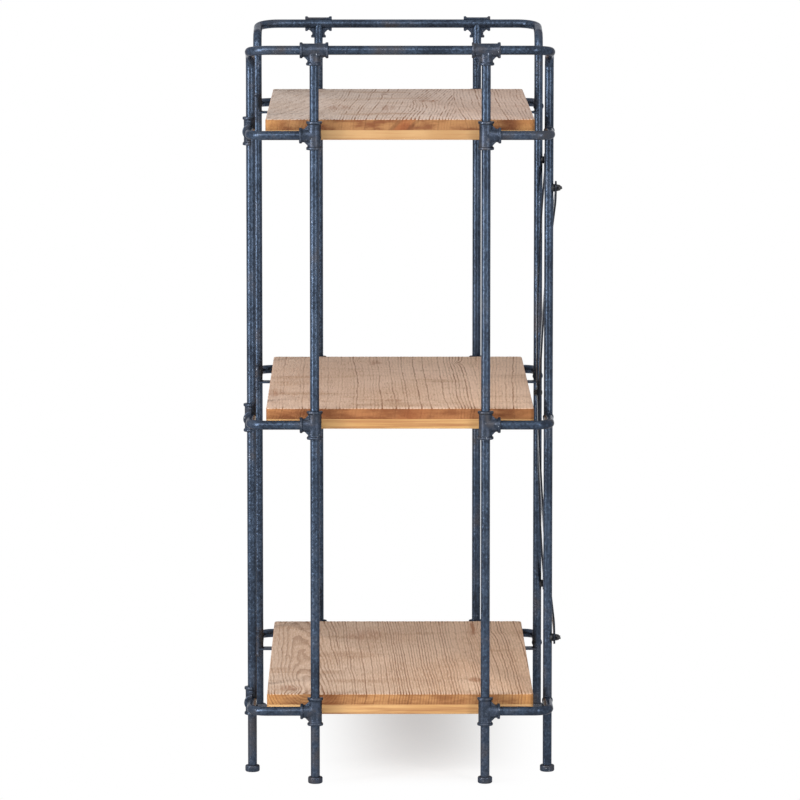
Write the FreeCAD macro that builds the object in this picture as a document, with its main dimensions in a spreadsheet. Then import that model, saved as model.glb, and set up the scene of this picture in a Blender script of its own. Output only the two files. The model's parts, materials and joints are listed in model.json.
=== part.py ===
"""Open shelf unit of bent tube: two end frames, three boards on cleats, a crossed brace on one long side.

X runs across the unit, Y along it and Z up. The origin is on the floor, midway between the posts.
"""
import math
import os
import re

import FreeCAD
import Part
import Sketcher

SIZES = {
    # Plan of the post axes
    "front_post_span": 238.0,
    "side_post_span": 418.0,
    "side_post_pitch": 502.0,
    "corner_reach": 90.0,
    # Tube of the posts and rails
    "tube_dia": 12.7,
    "tube_wall": 1.2,
    "bend_radius": 22.0,
    # Heights of the rail axes
    "low_rail_height": 102.0,
    "rail_pitch": 404.0,
    "top_rail_rise": 118.0,
    # Top rails: bends, fall of the legs, and the plug joint under each leg
    "flat_bend": 30.0,
    "neck_bend": 20.0,
    "leg_drop": 12.6,
    "joint_stub": 3.0,
    "plug_length": 30.0,
    "plug_fit": 0.1,
    # Split tees, which cover the outer half of each tube joint
    "tee_fit": 0.1,
    "tee_wall": 3.0,
    "tee_run": 40.0,
    "tee_branch": 21.0,
    "bead_rise": 1.7,
    "bead_width": 4.0,
    # Foot caps
    "foot_wall": 3.8,
    "foot_height": 9.5,
    "foot_floor": 3.0,
    "foot_bevel": 2.0,
    "foot_fit": 0.1,
    # Shelves, each a board on a frame of cleats
    "board_thickness": 15.0,
    "cleat_thickness": 13.6,
    "cleat_width": 45.0,
    "shelf_corner": 6.0,
    "shelf_side_gap": 15.6,
    "shelf_end_gap": 12.6,
    "shelf_drop": 7.5,
    # Tabs under the shelves, and their screws
    "tab_thickness": 2.5,
    "tab_width": 20.0,
    "tab_reach": 36.0,
    "tab_round": 5.0,
    "screw_inset": 21.0,
    "screw_dia": 4.0,
    "screw_fit": 0.3,
    "screw_depth": 17.0,
    "screw_head_dia": 8.0,
    "screw_head": 2.4,
    # Crossed brace
    "brace_low": 192.0,
    "brace_high": 830.0,
    "brace_width": 19.0,
    "brace_thickness": 2.5,
    "brace_bow": 15.5,
    "brace_seat": 11.0,
    "brace_bend": 16.0,
    "brace_flat": 20.0,
    "brace_fit": 0.25,
    # Studs on the posts, and their wing nuts
    "stud_dia": 5.0,
    "collar_dia": 11.0,
    "collar_rise": 2.0,
    "stud_reach": 7.0,
    "nut_dia": 9.6,
    "nut_tip_dia": 7.4,
    "nut_height": 5.2,
    "nut_gap": 0.2,
    "nut_play": 0.08,
    "wing_span": 20.0,
    "wing_root": 1.4,
    "wing_top": 7.6,
    "wing_width": 5.2,
    "wing_thickness": 2.6,
    # Bolt and nut where the brace strips cross
    "cross_bolt_dia": 5.0,
    "cross_head_dia": 10.6,
    "cross_head": 3.0,
    "cross_nut_flats": 8.0,
    "cross_nut": 4.0,
    "cross_bolt_end": 1.2,
}

# Formulas shared by several pieces
TUBE_R = "(tube_dia / 2)"
FRONT_X = "(front_post_span / 2)"
SIDE_X = "(side_post_span / 2)"
SIDE_Y = "(side_post_pitch / 2)"
FRONT_Y = "(side_post_pitch / 2 + corner_reach)"
TOP_Z = "(low_rail_height + 2 * rail_pitch + top_rail_rise)"
LEG_Z = f"({TOP_Z} - leg_drop)"
NECK_RUN = "(neck_bend * ((corner_reach ^ 2 + leg_drop ^ 2) ^ 0.5 - leg_drop) / corner_reach)"
JOINT_Z = f"({LEG_Z} - {NECK_RUN} - joint_stub)"
SHELF_X = f"({SIDE_X} - {TUBE_R} - shelf_side_gap)"
SHELF_Y = f"({FRONT_Y} - {TUBE_R} - shelf_end_gap)"
TEE_BORE = f"({TUBE_R} + tee_fit)"
TEE_BODY = f"({TEE_BORE} + tee_wall)"
TEE_BEAD = f"({TEE_BODY} + bead_rise)"
STRIP_IN = f"({SIDE_X} + {TUBE_R} + collar_rise)"
STRIP_OUT = f"({STRIP_IN} + brace_thickness)"
CROSS_Z = "((brace_low + brace_high) / 2)"
CROSS_X = f"({STRIP_IN} + brace_thickness / 2 - brace_bow)"
LEVELS = {"low": "low_rail_height", "mid": "(low_rail_height + rail_pitch)",
          "high": "(low_rail_height + 2 * rail_pitch)"}
SIDES = {"left": -1, "right": 1}
ENDS = {"front": -1, "rear": 1}

X_AXIS = FreeCAD.Vector(1, 0, 0)
Y_AXIS = FreeCAD.Vector(0, 1, 0)
Z_AXIS = FreeCAD.Vector(0, 0, 1)

doc = FreeCAD.newDocument("shelf_unit")
sheet = doc.addObject("Spreadsheet::Sheet", "size")
for row, (alias, value) in enumerate(SIZES.items(), start=1):
    sheet.set(f"A{row}", alias)
    sheet.set(f"B{row}", str(value))
    sheet.setAlias(f"B{row}", alias)
doc.recompute()

nodes = []
SIZE_NAME = r"[a-z]+(?:_[a-z]+)+"

# How a sketch names its origin and the points of an edge
ORIGIN, START, STOP, CENTRE = -1, 1, 2, 3

# Two lengths nearer than this are the same one
SAME = 0.01


# Small tools for formulas, placement and sketches

def formula(text):
    """The formula with each size written as its cell in the sheet."""
    return re.sub(SIZE_NAME, lambda word: f"size.{word.group()}", text)


def number(text):
    """The formula's value, from the sheet's cells."""
    plain = re.sub(SIZE_NAME, lambda word: f"({getattr(sheet, word.group())})", text)
    return FreeCAD.Units.Quantity(plain).Value


def bind(piece, **sizes):
    for name, text in sizes.items():
        piece.setExpression(name, formula(text))


def turn(axis, degrees):
    return FreeCAD.Rotation(axis, degrees)


def place(piece, x="0", y="0", z="0", rotation=FreeCAD.Rotation()):
    base = FreeCAD.Vector(number(x), number(y), number(z))
    piece.Placement = FreeCAD.Placement(base, rotation)
    for axis, text in zip("xyz", (x, y, z)):
        piece.setExpression(f"Placement.Base.{axis}", formula(text))
    return piece


def keep(piece, label):
    """Marks a finished piece as a node, under its own name."""
    piece.Label = label
    nodes.append(piece)
    return piece


def group(label, pieces):
    joined = doc.addObject("Part::Compound", label)
    joined.Links = pieces
    return keep(joined, label)


def new_body(name):
    return doc.addObject("PartDesign::Body", name)


def new_sketch(body, role):
    sketch = body.newObject("Sketcher::SketchObject", "Sketch")
    plane = [feature for feature in body.Origin.OriginFeatures if feature.Role == role][0]
    sketch.AttachmentSupport = [(plane, "")]
    sketch.MapMode = "FlatFace"
    return sketch


def fix_point(sketch, edge, end, x, y):
    for kind, text in (("DistanceX", x), ("DistanceY", y)):
        index = sketch.addConstraint(Sketcher.Constraint(kind, ORIGIN, START, edge, end, number(text)))
        sketch.setExpression(f"Constraints[{index}]", formula(text))


def outline(body, role, points):
    """A closed outline of straight lines, with each corner fixed by two formulas."""
    sketch = new_sketch(body, role)
    corners = [FreeCAD.Vector(number(x), number(y), 0) for x, y in points]
    count = len(points)
    for index in range(count):
        sketch.addGeometry(Part.LineSegment(corners[index], corners[(index + 1) % count]))
    for index in range(count):
        sketch.addConstraint(Sketcher.Constraint("Coincident", index, STOP, (index + 1) % count, START))
    for index, (x, y) in enumerate(points):
        fix_point(sketch, index, START, x, y)
    return sketch


def circles(body, role, rounds):
    """A sketch of circles, each with formulas for its centre and radius."""
    sketch = new_sketch(body, role)
    for edge, (x, y, radius) in enumerate(rounds):
        centre = FreeCAD.Vector(number(x), number(y), 0)
        sketch.addGeometry(Part.Circle(centre, Z_AXIS, number(radius)))
        fix_point(sketch, edge, CENTRE, x, y)
        index = sketch.addConstraint(Sketcher.Constraint("Radius", edge, number(radius)))
        sketch.setExpression(f"Constraints[{index}]", formula(radius))
    return sketch


def pad(body, sketch, length):
    feature = body.newObject("PartDesign::Pad", "Pad")
    feature.Profile = sketch
    bind(feature, Length=length)
    return feature


def revolve(body, sketch, axis, degrees=360):
    feature = body.newObject("PartDesign::Revolution", "Revolution")
    feature.Profile = sketch
    feature.ReferenceAxis = (sketch, [axis])
    feature.Angle = degrees
    return feature


def pocket_through(body, sketch, both_ways):
    """Cuts the sketch right through, either both ways or only along the sketch's normal."""
    feature = body.newObject("PartDesign::Pocket", "Pocket")
    feature.Profile = sketch
    feature.Type = "ThroughAll"
    feature.Midplane = both_ways
    feature.Reversed = not both_ways
    return feature


def round_edges(body, feature, radius, wanted):
    """Rounds the edges of a feature that the test picks."""
    doc.recompute()
    fillet = body.newObject("PartDesign::Fillet", "Fillet")
    picked = [f"Edge{index}" for index, edge in enumerate(feature.Shape.Edges, start=1) if wanted(edge)]
    fillet.Base = (feature, picked)
    bind(fillet, Radius=radius)
    return fillet


def is_upright(edge):
    first, last = edge.Vertexes[0].Point, edge.Vertexes[-1].Point
    return abs(first.z - last.z) > edge.Length / 2


def rod(radius, length, x="0", y="0", z="0", rotation=FreeCAD.Rotation()):
    cylinder = doc.addObject("Part::Cylinder", "Rod")
    bind(cylinder, Radius=radius, Height=length)
    return place(cylinder, x, y, z, rotation)


def elbow(x="0", y="0", z="0", rotation=FreeCAD.Rotation()):
    """A quarter bend of tube about its own Z axis, from its X axis to its Y axis."""
    torus = doc.addObject("Part::Torus", "Elbow")
    torus.Angle3 = 90
    bind(torus, Radius1="bend_radius", Radius2=TUBE_R)
    return place(torus, x, y, z, rotation)


def box(length, width, height, x="0", y="0", z="0"):
    block = doc.addObject("Part::Box", "Block")
    bind(block, Length=length, Width=width, Height=height)
    return place(block, x, y, z)


def fuse(pieces):
    joined = doc.addObject("Part::MultiFuse", "Fuse")
    joined.Shapes = pieces
    return joined


def cut(piece, tool):
    rest = doc.addObject("Part::Cut", "Cut")
    rest.Base = piece
    rest.Tool = tool
    return rest


def mirror_turn(side, end):
    """The half turn that carries the right rear corner's piece to another corner.

    The pieces turned by it are alike above and below their own middle.
    """
    if side > 0 and end > 0:
        return FreeCAD.Rotation()
    if side > 0:
        return turn(X_AXIS, 180)
    if end > 0:
        return turn(Y_AXIS, 180)
    return turn(Z_AXIS, 180)


# Posts: plain tube that stands on the floor of its foot cap

def post(label, x, y, top):
    body = new_body(label)
    ring = circles(body, "XY_Plane", [("0", "0", TUBE_R), ("0", "0", f"{TUBE_R} - tube_wall")])
    pad(body, ring, f"{top} - foot_floor")
    place(body, x, y, "foot_floor")
    return body


for end_name, end in ENDS.items():
    for side_name, side in SIDES.items():
        # The upper end is cut round to seat under the top rail.
        frame_post = post(f"{end_name}_post_{side_name}", f"{side} * {FRONT_X}", f"{end} * {FRONT_Y}", TOP_Z)
        saddle = circles(frame_post, "YZ_Plane", [("0", f"{TOP_Z} - foot_floor", TUBE_R)])
        pocket_through(frame_post, saddle, True)
        keep(frame_post, frame_post.Name)
        corner_post = post(f"{end_name}_side_post_{side_name}", f"{side} * {SIDE_X}", f"{end} * {SIDE_Y}", JOINT_Z)
        keep(corner_post, corner_post.Name)


# Top rails: one bent rod per end frame, whose legs slope down to the side posts and plug into them

def rounded_path(points, radii):
    """Lines through the points, with an arc of its own radius at each inner one."""
    edges = []
    start = points[0]
    for before, corner, after, radius in zip(points, points[1:], points[2:], radii):
        back = (before - corner).normalize()
        onward = (after - corner).normalize()
        half = back.getAngle(onward) / 2
        first = corner + back * (radius / math.tan(half))
        last = corner + onward * (radius / math.tan(half))
        middle = corner + (back + onward).normalize() * (radius / math.sin(half) - radius)
        edges.append(Part.LineSegment(start, first).toShape())
        edges.append(Part.Arc(first, middle, last).toShape())
        start = last
    edges.append(Part.LineSegment(start, points[-1]).toShape())
    return Part.Wire(edges)


def top_rail(label, end):
    """The bends lie in sloping planes, so the rod is drawn along its path from the sheet's sizes."""
    right = [FreeCAD.Vector(number(SIDE_X), end * number(y), number(z))
             for y, z in ((SIDE_Y, JOINT_Z), (SIDE_Y, LEG_Z), (FRONT_Y, TOP_Z))]
    left = [FreeCAD.Vector(-point.x, point.y, point.z) for point in reversed(right)]
    path = rounded_path(right + left, [sheet.neck_bend, sheet.flat_bend, sheet.flat_bend, sheet.neck_bend])
    mouth = Part.Wire(Part.makeCircle(number(TUBE_R), right[0], Z_AXIS))
    rod_shape = path.makePipe(Part.Face(mouth))
    plug_radius = number(f"{TUBE_R} - tube_wall - plug_fit")
    plugs = [Part.makeCylinder(plug_radius, sheet.plug_length, point, -Z_AXIS) for point in (right[0], left[-1])]
    rail = doc.addObject("Part::Feature", label)
    rail.Shape = rod_shape.fuse(plugs)
    rail.Placement = FreeCAD.Placement()
    return keep(rail, label)


for end_name, end in ENDS.items():
    top_rail(f"top_rail_{end_name}", end)


# Corner rails: a quarter bend from each end post to the side post beside it, on every level

def corner_rail(label, side, end, height):
    """Two legs and a bend, cut round at both ends to seat on the posts."""
    legs = [
        rod(TUBE_R, f"{SIDE_X} - {FRONT_X} - bend_radius", f"{FRONT_X}", FRONT_Y, "0", turn(Y_AXIS, 90)),
        elbow(f"{SIDE_X} - bend_radius", f"{FRONT_Y} - bend_radius"),
        rod(TUBE_R, "corner_reach - bend_radius", SIDE_X, SIDE_Y, "0", turn(X_AXIS, -90)),
    ]
    posts = [
        rod(TUBE_R, "2 * tube_dia", FRONT_X, FRONT_Y, "-1 * tube_dia"),
        rod(TUBE_R, "2 * tube_dia", SIDE_X, SIDE_Y, "-1 * tube_dia"),
    ]
    rail = cut(fuse(legs), fuse(posts))
    place(rail, "0", "0", height, mirror_turn(side, end))
    return keep(rail, label)


for level, height in LEVELS.items():
    for end_name, end in ENDS.items():
        for side_name, side in SIDES.items():
            corner_rail(f"corner_rail_{level}_{end_name}_{side_name}", side, end, height)


# Split tees: half shells with a bead at each mouth, clasped over the outer side of the joints.
# The side posts have them on the left only: on the right, where the brace is, the rails are just welded on.

def beaded_half(body, axis, start, stop, beads_at_both_ends):
    """A solid half round along one sketch axis, with beads, on the shell's side of the parting plane."""
    reach = [("0", start), ("0", stop), (TEE_BEAD, stop), (TEE_BEAD, f"{stop} - bead_width"),
             (TEE_BODY, f"{stop} - bead_width")]
    if beads_at_both_ends:
        reach += [(TEE_BODY, f"{start} + bead_width"), (TEE_BEAD, f"{start} + bead_width"), (TEE_BEAD, start)]
    else:
        reach += [(TEE_BODY, start)]
    if axis == "H_Axis":
        reach = [(along, out) for out, along in reach]
    half = revolve(body, outline(body, "XZ_Plane", reach), axis, 180)
    half.Reversed = axis == "V_Axis"
    return half


def split_tee(name, x, y, z, rotation):
    """The run lies along Z, the branch points along X, and the shell is on the -Y side."""
    body = new_body(name)
    beaded_half(body, "V_Axis", "-1 * tee_run / 2", "tee_run / 2", True)
    beaded_half(body, "H_Axis", "0", "tee_branch", False)
    pocket_through(body, circles(body, "XY_Plane", [("0", "0", TEE_BORE)]), True)
    pocket_through(body, circles(body, "YZ_Plane", [("0", "0", TEE_BORE)]), False)
    return place(body, x, y, z, rotation)


for level, height in LEVELS.items():
    for end_name, end in ENDS.items():
        # On an end post the branch points outward to the side, with the shell on the end's outer face.
        post_tees = [split_tee(f"tee_{level}_{end_name}_{side_name}", f"{side} * {FRONT_X}", f"{end} * {FRONT_Y}",
                               height, mirror_turn(side, -end)) for side_name, side in SIDES.items()]
        group(f"end_tees_{level}_{end_name}", post_tees)
        # On a side post the branch points to the end, with the shell on the outer side.
        side = SIDES["left"]
        side_tee = split_tee(f"side_tee_{level}_{end_name}", f"{side} * {SIDE_X}", f"{end} * {SIDE_Y}", height,
                             mirror_turn(side, end) * turn(Z_AXIS, 90))
        keep(side_tee, side_tee.Name)

for end_name, end in ENDS.items():
    top_tees = []
    for side_name, side in SIDES.items():
        upright = turn(Y_AXIS, 90) if end < 0 else turn(Z_AXIS, 180) * turn(Y_AXIS, 90)
        top_tees.append(split_tee(f"top_tee_{end_name}_{side_name}", f"{side} * {FRONT_X}", f"{end} * {FRONT_Y}",
                                  TOP_Z, upright))
    group(f"top_tees_{end_name}", top_tees)


# Foot caps: turned cups with bevelled rims, closed below

def foot_cap(name, x, y):
    body = new_body(name)
    bore = f"({TUBE_R} + foot_fit)"
    outer = f"({bore} + foot_wall)"
    cup = [("0", "0"), (f"{outer} - foot_bevel", "0"), (outer, "foot_bevel"), (outer, "foot_height - foot_bevel"),
           (f"{outer} - foot_bevel", "foot_height"), (bore, "foot_height"), (bore, "foot_floor"), ("0", "foot_floor")]
    revolve(body, outline(body, "XZ_Plane", cup), "V_Axis")
    return place(body, x, y)


caps = []
for end_name, end in ENDS.items():
    for side_name, side in SIDES.items():
        caps.append(foot_cap(f"cap_{end_name}_{side_name}", f"{side} * {FRONT_X}", f"{end} * {FRONT_Y}"))
        caps.append(foot_cap(f"side_cap_{end_name}_{side_name}", f"{side} * {SIDE_X}", f"{end} * {SIDE_Y}"))
group("foot_caps", caps)


# Shelves: a board on four cleats that are flush with its edges

def shelf_slab(name, thickness, z):
    body = new_body(name)
    plan = [(f"-1 * {SHELF_X}", f"-1 * {SHELF_Y}"), (SHELF_X, f"-1 * {SHELF_Y}"), (SHELF_X, SHELF_Y),
            (f"-1 * {SHELF_X}", SHELF_Y)]
    slab = pad(body, outline(body, "XY_Plane", plan), thickness)
    round_edges(body, slab, "shelf_corner", is_upright)
    return place(body, "0", "0", z)


SCREW_X = f"({SHELF_X} - screw_inset)"


def screw_points():
    return [(f"{side} * {SCREW_X}", f"{end} * {SIDE_Y}") for end in ENDS.values() for side in SIDES.values()]


def cleat_group(level, z):
    """Two end cleats across the whole width, with the board's rounded corners, and two side cleats between."""
    cleats = []
    for end in ENDS.values():
        edge_y = f"{SHELF_Y} - cleat_width" if end > 0 else f"-1 * {SHELF_Y}"
        strip = box(f"2 * {SHELF_X}", "cleat_width", "cleat_thickness", f"-1 * {SHELF_X}", edge_y, z)
        plan = shelf_slab("Cleat_plan", "cleat_thickness", z)
        end_cleat = doc.addObject("Part::MultiCommon", "End_cleat")
        end_cleat.Shapes = [plan, strip]
        cleats.append(end_cleat)
    for side in SIDES.values():
        edge_x = f"{SHELF_X} - cleat_width" if side > 0 else f"-1 * {SHELF_X}"
        strip = box("cleat_width", f"2 * ({SHELF_Y} - cleat_width)", "cleat_thickness", edge_x,
                    f"cleat_width - {SHELF_Y}", z)
        pilots = [rod("screw_dia / 2", "screw_depth", f"{side} * {SCREW_X}", f"{end} * {SIDE_Y}", z)
                  for end in ENDS.values()]
        cleats.append(cut(strip, fuse(pilots)))
    return group(f"cleats_{level}", cleats)


for level, height in LEVELS.items():
    underside = f"({height} - shelf_drop)"
    board_z = f"({underside} + cleat_thickness)"
    slab = shelf_slab(f"slab_{level}", "board_thickness", board_z)
    pilots = [rod("screw_dia / 2", "screw_depth", x, y, underside) for x, y in screw_points()]
    keep(cut(slab, fuse(pilots)), f"board_{level}")
    cleat_group(level, underside)


# Tabs: flat tongues welded to the side posts, which carry the shelves and take their screws

def tab(name, side, end, z):
    body = new_body(name)
    tongue = [("0", "-1 * tab_width / 2"), (f"{TUBE_R} + shelf_side_gap + tab_reach", "-1 * tab_width / 2"),
              (f"{TUBE_R} + shelf_side_gap + tab_reach", "tab_width / 2"), ("0", "tab_width / 2")]
    plate = pad(body, outline(body, "XY_Plane", tongue), "tab_thickness")
    tip = number(tongue[1][0])
    rounded = round_edges(body, plate, "tab_round",
                          lambda edge: is_upright(edge) and edge.CenterOfMass.x > tip / 2)
    body.Tip = rounded
    holes = circles(body, "XY_Plane", [
        ("0", "0", TUBE_R),
        (f"{TUBE_R} + shelf_side_gap + screw_inset", "0", "screw_dia / 2 + screw_fit"),
    ])
    pocket_through(body, holes, True)
    rotation = turn(Z_AXIS, 180) if side > 0 else FreeCAD.Rotation()
    return place(body, f"{side} * {SIDE_X}", f"{end} * {SIDE_Y}", f"{z} - tab_thickness", rotation)


def shelf_screw(name, x, y, z):
    """A round-headed screw that points up, with its head under the tab."""
    body = new_body(name)
    turned = [("0", "-1 * screw_head"), ("screw_head_dia / 4", "-1 * screw_head"), ("screw_head_dia / 2", "0"),
              ("screw_dia / 2", "0"), ("screw_dia / 2", "tab_thickness + screw_depth - screw_dia"),
              ("0", "tab_thickness + screw_depth")]
    revolve(body, outline(body, "XZ_Plane", turned), "V_Axis")
    return place(body, x, y, f"{z} - tab_thickness")


for level, height in LEVELS.items():
    underside = f"({height} - shelf_drop)"
    tabs = [tab(f"tab_{level}_{end}_{side}", side, end, underside)
            for end in ENDS.values() for side in SIDES.values()]
    group(f"shelf_tabs_{level}", tabs)
    screws = [shelf_screw(f"screw_{level}", x, y, underside) for x, y in screw_points()]
    group(f"shelf_screws_{level}", screws)


# Brace strips: flat bar with round ends, sprung inward to the bolt where the two cross

def bow_edge(way, half, near, bow):
    """Points from one stud to the crossing: a flat seat, a short bend, one long arc back, and flat again."""
    bend = sheet.brace_bend
    sweep = half - sheet.brace_seat - bend - sheet.brace_flat
    # Both arcs turn by the same angle, so the edge is level again where the long one ends.
    angle = 2 * math.atan2(bow, bend + sweep)

    def along_arc(run, share):
        """How far an arc of this run has gone along and inward after a share of its angle."""
        radius = run / math.sin(angle)
        return radius * math.sin(share * angle), radius * (1 - math.cos(share * angle))

    seat_end = half - sheet.brace_seat
    bend_along, bend_in = along_arc(bend, 1)
    half_bend_along, half_bend_in = along_arc(bend, 1 / 2)
    half_sweep_along, half_sweep_in = along_arc(sweep, 1 / 2)
    points = [
        (half, 0),
        (seat_end, 0),
        (seat_end - half_bend_along, half_bend_in),
        (seat_end - bend_along, bend_in),
        (sheet.brace_flat + half_sweep_along, bow - half_sweep_in),
        (sheet.brace_flat, bow),
        (0, bow),
    ]
    return [FreeCAD.Vector(near - inward, 0, way * along) for along, inward in points]


def bow_curves(points):
    return [
        Part.LineSegment(points[0], points[1]).toShape(),
        Part.Arc(points[1], points[2], points[3]).toShape(),
        Part.Arc(points[3], points[4], points[5]).toShape(),
        Part.LineSegment(points[5], points[6]).toShape(),
    ]


def brace_strip(label, lean, bow):
    """A bowed flat bar whose ends are rounded about the stud holes."""
    low = sheet.brace_low
    high = sheet.brace_high
    width = sheet.brace_width
    thick = sheet.brace_thickness
    half = math.hypot(sheet.side_post_pitch, high - low) / 2
    end = half + width / 2
    inner = number(STRIP_IN)
    edges = []
    for face in (inner, inner + thick):
        for way in (-1, 1):
            points = bow_edge(way, half, face, bow)
            points[0].z = way * end
            edges += bow_curves(points)
    for along in (-end, end):
        first = FreeCAD.Vector(inner, 0, along)
        edges.append(Part.LineSegment(first, first + X_AXIS * thick).toShape())
    profile = Part.Face(Part.Wire(Part.__sortEdges__(edges)))
    bar = profile.extrude(Y_AXIS * width).translated(Y_AXIS * (-width / 2))
    depth = 2 * (thick + sheet.brace_bow)
    start = FreeCAD.Vector(inner - depth / 2, 0, 0)
    plan = Part.makeBox(depth, width, 2 * half, start + FreeCAD.Vector(0, -width / 2, -half))
    for along in (-half, half):
        plan = plan.fuse(Part.makeCylinder(width / 2, depth, start + Z_AXIS * along, X_AXIS))
    bar = bar.common(plan)
    holes = [(-half, sheet.stud_dia), (half, sheet.stud_dia), (0, sheet.cross_bolt_dia)]
    for along, bolt in holes:
        bar = bar.cut(Part.makeCylinder(bolt / 2 + sheet.brace_fit, depth, start + Z_AXIS * along, X_AXIS))
    strip = doc.addObject("Part::Feature", label)
    strip.Shape = bar
    slope = math.degrees(math.atan2(sheet.side_post_pitch, high - low))
    strip.Placement = FreeCAD.Placement(FreeCAD.Vector(0, 0, (low + high) / 2), turn(X_AXIS, lean * slope))
    return keep(strip, label)


brace_strip("brace_strip_outer", 1, sheet.brace_bow - sheet.brace_thickness / 2)
brace_strip("brace_strip_inner", -1, sheet.brace_bow + sheet.brace_thickness / 2)


# Studs: threaded pins on collars that are welded to the side posts

def brace_stud(end, z):
    collar = rod("collar_dia / 2", f"{TUBE_R} + collar_rise", SIDE_X, f"{end} * {SIDE_Y}", z, turn(Y_AXIS, 90))
    pin = rod("stud_dia / 2", f"{TUBE_R} + collar_rise + brace_thickness + stud_reach", SIDE_X, f"{end} * {SIDE_Y}",
              z, turn(Y_AXIS, 90))
    seat = rod(TUBE_R, "2 * collar_dia", SIDE_X, f"{end} * {SIDE_Y}", f"{z} - collar_dia")
    return cut(fuse([collar, pin]), seat)


STUDS = {"low": "brace_low", "high": "brace_high"}
group("brace_studs", [brace_stud(end, z) for end in ENDS.values() for z in STUDS.values()])


# Wing nuts: a coned hub with two upswept ears, free to turn on its stud

def wing_nut(label, end, z):
    body = new_body(label)
    hub = [("0", "0"), ("0", "nut_height"), ("nut_tip_dia / 2", "nut_height"), ("nut_dia / 2", "0")]
    revolve(body, outline(body, "XZ_Plane", hub), "V_Axis")
    ears = []
    for way in (-1, 1):
        ear = [("0", "wing_root"), (f"{way} * wing_span / 2", "wing_top - wing_width"),
               (f"{way} * wing_span / 2", "wing_top"), (f"{way} * (wing_span - wing_width) / 2", "wing_top"),
               ("0", "nut_height - wing_root")]
        ears.append(pad(body, outline(body, "XZ_Plane", ear), "wing_thickness"))
        ears[-1].Midplane = True
    tips = number("wing_span / 2")
    top = number("wing_top")
    rounded = round_edges(body, ears[-1], "wing_thickness / 2", lambda edge: abs(edge.CenterOfMass.y) < SAME and
                          abs(edge.CenterOfMass.z - top) < SAME and abs(abs(edge.CenterOfMass.x) - tips) < SAME)
    body.Tip = rounded
    pocket_through(body, circles(body, "XY_Plane", [("0", "0", "stud_dia / 2 + nut_play")]), True)
    # At rest the ears lie level, along the unit.
    place(body, f"{STRIP_OUT} + nut_gap", f"{end} * {SIDE_Y}", z, turn(X_AXIS, 90) * turn(Y_AXIS, 90))
    return keep(body, label)


for end_name, end in ENDS.items():
    for stud_name, z in STUDS.items():
        wing_nut(f"wing_nut_{end_name}_{stud_name}", end, z)


# Bolt and nut at the crossing of the strips

along_x = turn(Y_AXIS, 90)
bolt_body = new_body("cross_bolt")
bolt_end = "-1 * (brace_thickness + cross_nut + cross_bolt_end)"
bolt_turned = [("0", bolt_end), ("0", "brace_thickness + cross_head"),
               ("cross_head_dia / 4", "brace_thickness + cross_head"), ("cross_head_dia / 2", "brace_thickness"),
               ("cross_bolt_dia / 2", "brace_thickness"), ("cross_bolt_dia / 2", bolt_end)]
revolve(bolt_body, outline(bolt_body, "XZ_Plane", bolt_turned), "V_Axis")
keep(place(bolt_body, CROSS_X, "0", CROSS_Z, along_x), "cross_bolt")

hexagon = doc.addObject("Part::Prism", "Hexagon")
hexagon.Polygon = 6
bind(hexagon, Circumradius="cross_nut_flats / sqrt(3)", Height="cross_nut")
place(hexagon, f"{CROSS_X} - brace_thickness - cross_nut", "0", CROSS_Z, along_x)
nut_bore = rod("cross_bolt_dia / 2", "cross_nut", f"{CROSS_X} - brace_thickness - cross_nut", "0", CROSS_Z, along_x)
keep(cut(hexagon, nut_bore), "cross_nut")


# Test and write

doc.recompute()
for thing in doc.Objects:
    if "Invalid" in thing.State or "Error" in thing.State:
        raise RuntimeError(f"{thing.Label} is not built: {thing.State}")
os.makedirs("parts", exist_ok=True)
for node in nodes:
    shape = node.Shape
    if shape.isNull() or not shape.isValid():
        raise RuntimeError(f"{node.Label} has no valid shape")
    shape.exportStep(f"parts/{node.Label}.step")
print(f"{len(nodes)} nodes written")
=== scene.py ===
import json
import math
import random

import bmesh
import bpy
from mathutils import Matrix, Vector

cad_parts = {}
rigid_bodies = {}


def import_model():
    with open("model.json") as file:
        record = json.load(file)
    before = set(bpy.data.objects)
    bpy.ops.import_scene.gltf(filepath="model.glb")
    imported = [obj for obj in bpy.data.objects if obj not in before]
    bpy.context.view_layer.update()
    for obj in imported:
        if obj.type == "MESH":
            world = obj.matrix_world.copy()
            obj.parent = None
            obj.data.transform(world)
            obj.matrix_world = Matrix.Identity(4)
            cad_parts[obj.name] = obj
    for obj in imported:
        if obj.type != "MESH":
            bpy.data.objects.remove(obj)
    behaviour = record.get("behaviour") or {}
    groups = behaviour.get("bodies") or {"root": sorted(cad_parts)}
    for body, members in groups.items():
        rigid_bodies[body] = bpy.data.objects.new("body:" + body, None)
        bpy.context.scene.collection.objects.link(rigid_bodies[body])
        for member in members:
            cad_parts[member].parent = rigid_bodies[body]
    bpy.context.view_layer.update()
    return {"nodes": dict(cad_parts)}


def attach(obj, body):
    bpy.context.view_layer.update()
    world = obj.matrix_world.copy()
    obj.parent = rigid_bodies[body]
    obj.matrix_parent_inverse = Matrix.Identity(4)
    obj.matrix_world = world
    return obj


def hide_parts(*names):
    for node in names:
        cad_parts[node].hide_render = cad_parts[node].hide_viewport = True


for stray in list(bpy.data.objects):
    bpy.data.objects.remove(stray)
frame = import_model()
nodes = frame["nodes"]


# Posts and rails: round steel tube, cut and bent cold, then painted.
# The paint is a finely dented navy, rubbed back by hand, so a brown
# undercoat and pinholes of bare metal show through it. The pale pinholes
# also stand in as painted glints, and the paint turns darker towards the floor.

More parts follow.
